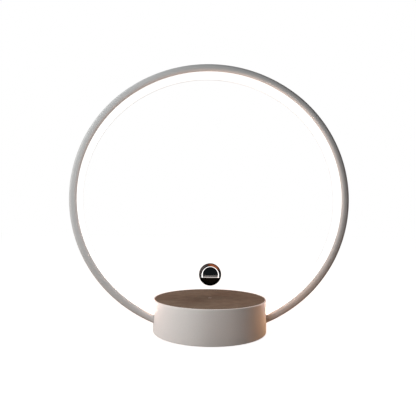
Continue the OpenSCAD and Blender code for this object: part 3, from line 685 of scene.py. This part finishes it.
addPiece("topPlate", [turned(plateOutline(platePlan), roundTurn(platePlan["turns"]), True)],
         plateFinish, "lamp", ["top_plate"])
addPiece("lightWindow", [turned(lensOutline(platePlan), roundTurn(platePlan["lensTurns"]), False)],
         lensFinish, "lamp", ["indicator_lens"])
print("top plate made")


# Ball: two half shells that meet in a fine seam

ballPlan = {
    "centre": (0.0, 0.0, 0.0603), "radius": 0.0122, "inside": 0.011, "seam": 0.00006, "seamAngle": 0.008,
    "lipR": 0.01090445, "lipT": 0.0006, "lipH": 0.001, "lipRoot": 0.0001, "lipGap": 0.00005,
    "lipEdge": 0.00002, "lipSteps": 2, "rows": 56, "turns": 144,
}


# Half shell: an arc r = R cos b, z = R sin b outside and back along the inside, its edge broken at the seam
def halfShell(plan):
    b = np.linspace(math.pi / 2, plan["seamAngle"], plan["rows"])
    outside = plan["radius"] * np.stack([np.cos(b), np.sin(b)], -1)
    edge = [(plan["radius"] - plan["seam"], 0.0)]
    back = np.linspace(0, math.pi / 2, plan["rows"] // 2)
    inside = plan["inside"] * np.stack([np.cos(back), np.sin(back)], -1)
    outline = np.concatenate([outside, edge, inside])
    outline[0, 0] = outline[-1, 0] = 0.0
    return turned(outline, roundTurn(plan["turns"]), False)


# Lip of the lower half: a thin stepped ring, rooted in its wall, that reaches up into the other half
def ballLip(plan):
    low, high, reach, gap = plan["lipR"] - plan["lipT"], plan["lipR"], plan["lipH"], plan["lipGap"]
    root = plan["inside"] + plan["lipRoot"]
    corners = [(low, -reach), (root, -reach), (root, -gap), (high, -gap), (high, reach), (low, reach)]
    return turned(roundedOutline(corners, plan["lipEdge"], plan["lipSteps"]), roundTurn(plan["turns"]), True)


upperHalf = halfShell(ballPlan)
lowerHalf = (upperHalf[0] * [1, 1, -1], upperHalf[1])
addPiece("ballUpper", [placed(upperHalf, [ballPlan["centre"]])],
         chromeShadedBelow, "ball", ["ball_upper_shell"])
addPiece("ballLower", [placed(lowerHalf, [ballPlan["centre"]]), placed(ballLip(ballPlan), [ballPlan["centre"]])],
         chromeShadedBelow, "ball", ["ball_lower_shell"])
print("ball made")


# Underside: rubber feet and the screws' cross recesses

footPlan = {
    "radius": 0.005, "height": 0.002, "edge": 0.0005, "dish": 0.00012, "circle": 0.04395,
    "dishRows": 8, "edgeRows": 7, "turns": 64,
}
screwPlan = {
    "headR": 0.00275, "headEdge": 0.00008, "headH": 0.0016, "bottom": 0.001,
    "shankR": 0.0015, "tip": 0.0005, "tipShare": 0.6, "turns": 72, "headRows": 22,
    "cross": 0.00042, "crossReach": 0.0016, "crossDeep": 0.0009, "crossWall": 0.00012, "crossFall": 2.2,
    "coverLength": 0.009, "coverCircle": 0.0547,
    "bracketLength": 0.0049, "bracketX": 0.04119, "bracketY": 0.00525,
}


# Foot: a dished sole z = dish (1 - (r / R)^2), a round edge and a flat top in the cover
def footOutline(plan):
    sole = plan["radius"] - plan["edge"]
    r = np.linspace(0, sole, plan["dishRows"])
    dish = np.stack([r, plan["dish"] * (1 - (r / sole) ** 2)], -1)
    bend = np.linspace(0, math.pi / 2, plan["edgeRows"])[1:]
    corner = np.stack([sole + plan["edge"] * np.sin(bend), plan["edge"] * (1 - np.cos(bend))], -1)
    return np.concatenate([dish, corner, [(plan["radius"], plan["height"]), (0.0, plan["height"])]])


# Screw: head rows on a polar grid are raised where min(|x|, |y|) is inside the cross's half width,
# and the cone, shank and tip follow as turned rows
def crossScrew(plan, length):
    angles, rows, edge, shank = roundTurn(plan["turns"]), plan["headRows"], plan["headEdge"], plan["shankR"]
    rHead = np.linspace(0, plan["headR"] - edge, rows)
    tail = [(plan["headR"], edge), (shank, plan["headH"]), (shank, length - plan["tip"]),
            (shank * plan["tipShare"], length), (0.0, length)]
    outline = np.concatenate([np.stack([rHead, np.zeros(rows)], -1), tail])
    points, quads = turned(outline, angles, False)
    x, y = np.abs(points[:, 0]), np.abs(points[:, 1])
    across = np.clip((plan["cross"] - np.minimum(x, y)) / plan["crossWall"], 0, 1)
    reach = np.clip((plan["crossReach"] - np.maximum(x, y)) / plan["crossReach"], 0, 1)
    head = np.arange(len(points)) < rows * len(angles)
    points[:, 2] += np.where(head, across * np.minimum(reach * plan["crossFall"], 1) * plan["crossDeep"], 0)
    return points, quads


bracketPlaces = [(sx * screwPlan["bracketX"], sy * screwPlan["bracketY"], screwPlan["bottom"])
                 for sx in (-1, 1) for sy in (-1, 1)]
addPiece("rubberFeet", [placed(turned(footOutline(footPlan), roundTurn(footPlan["turns"]), False),
                               cornerPlaces(footPlan["circle"], 0.0))],
         rubberFinish, "lamp", ["rubber_feet"])
addPiece("coverScrews", [placed(crossScrew(screwPlan, screwPlan["coverLength"]),
                                cornerPlaces(screwPlan["coverCircle"], screwPlan["bottom"]))],
         steelFinish, "lamp", ["cover_screws"])
addPiece("bracketScrews", [placed(crossScrew(screwPlan, screwPlan["bracketLength"]), bracketPlaces)],
         steelFinish, "lamp", ["bracket_screws"])
print("underside made")


# Finishes of the solids that are shown as they are

nodeFinish = {
    "bottom_cover": plasticFinish, "power_inlet": plasticFinish, "inlet_pin": brassFinish,
    "led_strip": stripFinish, "led_chips": chipFinish, "led_leads": wireFinish,
    "hoop_bracket_left": steelFinish, "hoop_bracket_right": steelFinish, "hoop_screws": steelFinish,
    "board_standoffs": brassFinish, "control_board": boardFinish, "microcontroller": plasticFinish,
    "driver_chips": plasticFinish, "capacitors": sleeveFinish, "lead_header": nylonFinish,
    "plate_spacers": brassFinish, "levitation_plate": steelFinish, "module_screws": steelFinish,
    "ring_magnet": ferriteFinish, "coil_bobbins": nylonFinish, "coil_windings": copperFinish,
    "coil_cores": steelFinish, "sensor_board": boardFinish, "hall_sensors": plasticFinish,
    "indicator_led": chipFinish, "float_magnet": steelFinish, "magnet_cup": plasticFinish,
    "magnet_cap": plasticFinish,
}
for nodeName, finish in nodeFinish.items():
    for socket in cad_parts[nodeName].material_slots:
        socket.material = finish
print("solids finished:", len(nodeFinish))


# Studio: a pale floor, a white surround, soft light from the left, two lamps for the hoop's paint alone,
# and a dark card with glowing patches that only reflections show: painted reflections

studioPlan = {
    "floorHalf": 6.0, "floorLines": 13, "floorZ": -0.0001, "floorColour": (0.35, 0.235, 0.175, 1),
    "floorWhite": (0.95, 1.0), "floorFade": (0.2, 0.7),        # white level near and far, and those distances
    "ambient": (0.02, 0.02, 0.02, 1), "surround": (1, 1, 1, 1),
    "cardNear": 0.2, "cardRadius": 1.2, "cardRaise": 0.0006, "cardTop": 89, "cardRows": 16, "cardTurns": 72,
    "cardGlow": (0.013, 0.0155, 0.018, 1),
    # glowing patches on the card, which are painted reflections of warm and grey-brown sheen on the ball: place,
    # distances where it starts and ends to fade, colour
    "reflectionPatches": [
        ((0.443, 0.632, 0.919), (0.4, 0.8), (0.6, 0.18, 0.08, 1)),
        ((-0.68, 0.86, 0.46), (0.4, 0.85), (0.2, 0.165, 0.155, 1)),
    ],
    # soft lamp: its place, the point it shines at, watts, width, colour
    "lamps": {
        "frontLight": ((-0.127, -0.272, 0.19), (0.0, 0.0, 0.1), 0.37, 0.09, (0.905, 0.98, 1.0)),
        "highLight": ((-0.212, -0.212, 0.34), (0.0, 0.0, 0.1), 0.2, 0.12, (0.96, 0.995, 1.0)),
        "sideLight": ((-0.9, 0.0, 0.37), (0.0, 0.0, 0.1), 4.3, 0.27, (0.985, 1.0, 1.0)),
        "backLight": ((0.5, 0.6, 0.6), (0.0, 0.0, 0.1), 3.8, 0.4, (1.0, 0.99, 0.98)),
    },
    # lamps for the hoop's paint alone, its own light and the base's warm bounce: place, watts, radius, colour
    "hoopLamps": {
        "hoopGlow": ((0.04, 0.03, 0.19), 0.32, 0.04, (1.0, 0.74, 0.63)),
        "footGlow": ((0.076, -0.045, 0.06), 0.018, 0.02, (1.0, 0.42, 0.12)),
    },
    # warm light from low at the right: place, the point it shines at, watts, cone in degrees, size, colour
    "warmLight": ((0.22, 0.06, 0.014), (0.058, -0.008, 0.02), 1.2, 26, 0.02, (1.0, 0.52, 0.18)),
}


# 1 where a ray comes straight from the camera, a reflection or a see-through surface
def seenDirectly(tree):
    path = tree.nodes.new("ShaderNodeLightPath")
    either = addMath(tree, "MAXIMUM", path.outputs["Is Camera Ray"], path.outputs["Is Glossy Ray"])
    return addMath(tree, "MAXIMUM", either, path.outputs["Is Transmission Ray"])


# A weak even light for the surfaces, a white surround for what is seen directly
def makeWorld(plan):
    world = bpy.data.worlds.new("studioWorld")
    world.cycles.sampling_method = "NONE"
    world.use_nodes = True
    tree = world.node_tree
    soft = tree.nodes["Background"]
    soft.inputs["Color"].default_value = plan["ambient"]
    white = tree.nodes.new("ShaderNodeBackground")
    white.inputs["Color"].default_value = plan["surround"]
    mix = tree.nodes.new("ShaderNodeMixShader")
    tree.links.new(seenDirectly(tree), mix.inputs[0])
    tree.links.new(soft.outputs[0], mix.inputs[1])
    tree.links.new(white.outputs[0], mix.inputs[2])
    tree.links.new(mix.outputs[0], tree.nodes["World Output"].inputs["Surface"])
    scene.world = world


# Floor or card: not part of the lamp, and not sampled as a light
def addStage(name, points, quads, material):
    mesh = bpy.data.meshes.new(name)
    mesh.from_pydata(points.tolist(), [], quads.tolist())
    mesh.materials.append(material)
    material.cycles.emission_sampling = "NONE"
    stage = bpy.data.objects.new(name, mesh)
    scene.collection.objects.link(stage)
    return stage


# Floor: an even grid; it takes shadows, and a white glow is added where it is seen directly
def makeFloor(plan):
    side = np.linspace(-plan["floorHalf"], plan["floorHalf"], plan["floorLines"])
    x, y = np.meshgrid(side, side)
    points = np.stack([x, y, np.full(x.shape, plan["floorZ"])], -1).reshape(-1, 3)
    material, tree, shader = newMaterial("paleFloor")
    shader.inputs["Base Color"].default_value = plan["floorColour"]
    shader.inputs["Roughness"].default_value = 1.0
    shader.inputs["Specular IOR Level"].default_value = 0.0
    white = tree.nodes.new("ShaderNodeEmission")
    away = tree.nodes.new("ShaderNodeVectorMath")
    away.operation = "LENGTH"
    tree.links.new(objectPlace(tree), away.inputs[0])
    level = addRange(tree, away.outputs["Value"], *plan["floorFade"], *plan["floorWhite"])
    tree.links.new(addMath(tree, "MULTIPLY", seenDirectly(tree), level), white.inputs["Strength"])
    both = tree.nodes.new("ShaderNodeAddShader")
    tree.links.new(shader.outputs[0], both.inputs[0])
    tree.links.new(white.outputs[0], both.inputs[1])
    tree.links.new(both.outputs[0], tree.nodes["Material Output"].inputs["Surface"])
    addStage("studioFloor", points, gridQuads(len(side), len(side)), material)


# Card: a ring on the floor and a dome r = R cos b, z = R sin b, seen only in reflections: a dark sheet for painted
# dark reflections, with glowing patches at the back for painted sheen reflections
def makeCard(plan):
    b = np.radians(np.linspace(0, plan["cardTop"], plan["cardRows"]))
    dome = plan["cardRadius"] * np.stack([np.cos(b), np.sin(b)], -1)
    points, quads = turned(np.concatenate([[(plan["cardNear"], 0.0)], dome]), roundTurn(plan["cardTurns"]), False)
    material, tree, shader = newMaterial("darkCard")
    shader.inputs["Base Color"].default_value = (0, 0, 0, 1)
    shader.inputs["Specular IOR Level"].default_value = 0.0
    place, glow = objectPlace(tree), plan["cardGlow"]
    for middle, reach, colour in plan["reflectionPatches"]:
        away = tree.nodes.new("ShaderNodeVectorMath")
        away.operation = "DISTANCE"
        tree.links.new(place, away.inputs[0])
        away.inputs[1].default_value = middle
        glow = addMix(tree, addRange(tree, away.outputs["Value"], *reach, 1.0, 0.0), glow, colour)
    tree.links.new(glow, shader.inputs["Emission Color"])
    shader.inputs["Emission Strength"].default_value = 1.0
    card = addStage("studioCard", points + [0, 0, plan["cardRaise"]], quads, material)
    card.visible_camera = card.visible_diffuse = card.visible_shadow = card.visible_transmission = False


# Lamp that shines at a point and isn't seen itself
def addLamp(name, kind, at, towards, watts, colour):
    light = bpy.data.lights.new(name, kind)
    light.energy = watts
    light.color = colour
    lamp = bpy.data.objects.new(name, light)
    lamp.location = at
    lamp.rotation_euler = (Vector(towards) - Vector(at)).to_track_quat("-Z", "Y").to_euler()
    lamp.visible_camera = lamp.visible_glossy = False
    scene.collection.objects.link(lamp)
    return lamp


# Says which pieces a light reaches, or which alone it passes over
def linkLight(holder, pieces, state):
    group = bpy.data.collections.new(holder.name + "Reach")
    for piece in pieces:
        group.objects.link(piece)
    for entry in group.collection_objects:
        entry.light_linking.link_state = state
    holder.light_linking.receiver_collection = group


def makeLamps(plan):
    for name, (at, towards, watts, width, colour) in plan["lamps"].items():
        light = addLamp(name, "AREA", at, towards, watts, colour).data
        light.shape = "DISK"
        light.size = width
    at, towards, watts, cone, size, colour = plan["warmLight"]
    light = addLamp("warmLight", "SPOT", at, towards, watts, colour).data
    light.spot_size = math.radians(cone)
    light.spot_blend = 1.0
    light.shadow_soft_size = size
    for name, (at, watts, size, colour) in plan["hoopLamps"].items():
        lamp = addLamp(name, "POINT", at, (0.0, 0.0, 0.0), watts, colour)
        lamp.data.shadow_soft_size = size
        linkLight(lamp, [hoopBody], "INCLUDE")
    linkLight(hoopLight, [hoopBody, hoopLight], "EXCLUDE")


makeWorld(studioPlan)
makeFloor(studioPlan)
makeCard(studioPlan)
makeLamps(studioPlan)
print("studio made")


# Camera: placed low in front and a little to the left, tilted up, as in the photograph

cameraPlan = {
    "at": (-0.02218, -0.400, 0.1065), "turn": -0.0477, "tilt": 0.0675, "roll": 0.0106, "lens": 31.16, "sensor": 36.0,
}
camera = bpy.data.objects.new("photoCamera", bpy.data.cameras.new("photoCamera"))
camera.data.lens = cameraPlan["lens"]
camera.data.sensor_width = cameraPlan["sensor"]
camera.matrix_world = (
    Matrix.Translation(cameraPlan["at"])
    @ Matrix.Rotation(cameraPlan["turn"], 4, "Z")
    @ Matrix.Rotation(math.pi / 2 + cameraPlan["tilt"], 4, "X")
    @ Matrix.Rotation(cameraPlan["roll"], 4, "Z"))
scene.collection.objects.link(camera)
scene.camera = camera
